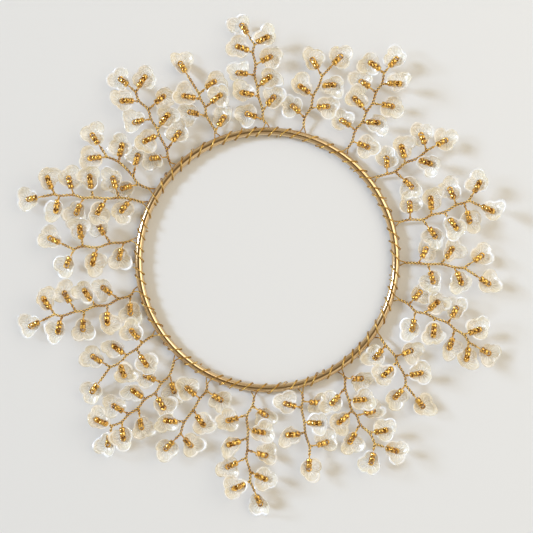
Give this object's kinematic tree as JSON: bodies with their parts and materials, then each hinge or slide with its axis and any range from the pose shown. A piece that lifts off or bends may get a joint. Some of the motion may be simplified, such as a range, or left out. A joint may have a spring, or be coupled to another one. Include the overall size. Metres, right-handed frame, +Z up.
{
  "type": "candle ring",
  "caption": "Flat ring of gold rod that lies round the foot of a pillar candle, fringed with twisted-wire sprigs of pearly flower sequins and gold glass seed beads.",
  "frame": {"origin": "middle of the candle opening, on the surface that the ring lies on", "axes": "+Z up out of the opening, +Y towards the top of the picture, +X to its right"},
  "size_m": [0.183, 0.1892, 0.0129],
  "materials": {
    "ring_metal": "polished",
    "wire": "polished",
    "sequin": "pearl gloss",
    "bead": "gold lined, gloss"
  },
  "bodies": {
    "root": {"ring_rod": "ring_metal", "sprig_01_wire": "wire", "sprig_02_wire": "wire", "sprig_03_wire": "wire", "sprig_04_wire": "wire", "sprig_05_wire": "wire", "sprig_06_wire": "wire", "sprig_07_wire": "wire", "sprig_08_wire": "wire", "sprig_09_wire": "wire", "sprig_10_wire": "wire", "sprig_11_wire": "wire", "sprig_12_wire": "wire", "sprig_13_wire": "wire", "sprig_14_wire": "wire", "sprig_15_wire": "wire", "sprig_16_wire": "wire", "sprig_17_wire": "wire", "sprig_18_wire": "wire", "sprig_19_wire": "wire", "sprig_20_wire": "wire", "sprig_01_sequins": "sequin", "sprig_02_sequins": "sequin", "sprig_03_sequins": "sequin", "sprig_04_sequins": "sequin", "sprig_05_sequins": "sequin", "sprig_06_sequins": "sequin", "sprig_07_sequins": "sequin", "sprig_08_sequins": "sequin", "sprig_09_sequins": "sequin", "sprig_10_sequins": "sequin", "sprig_11_sequins": "sequin", "sprig_12_sequins": "sequin", "sprig_13_sequins": "sequin", "sprig_14_sequins": "sequin", "sprig_15_sequins": "sequin", "sprig_16_sequins": "sequin", "sprig_17_sequins": "sequin", "sprig_18_sequins": "sequin", "sprig_19_sequins": "sequin", "sprig_20_sequins": "sequin", "sprigs_01_02_beads": "bead", "sprigs_03_04_beads": "bead", "sprigs_05_06_beads": "bead", "sprigs_07_08_beads": "bead", "sprigs_09_10_beads": "bead", "sprigs_11_12_beads": "bead", "sprigs_13_14_beads": "bead", "sprigs_15_16_beads": "bead", "sprigs_17_18_beads": "bead", "sprigs_19_20_beads": "bead"}
  },
  "joints": []
}
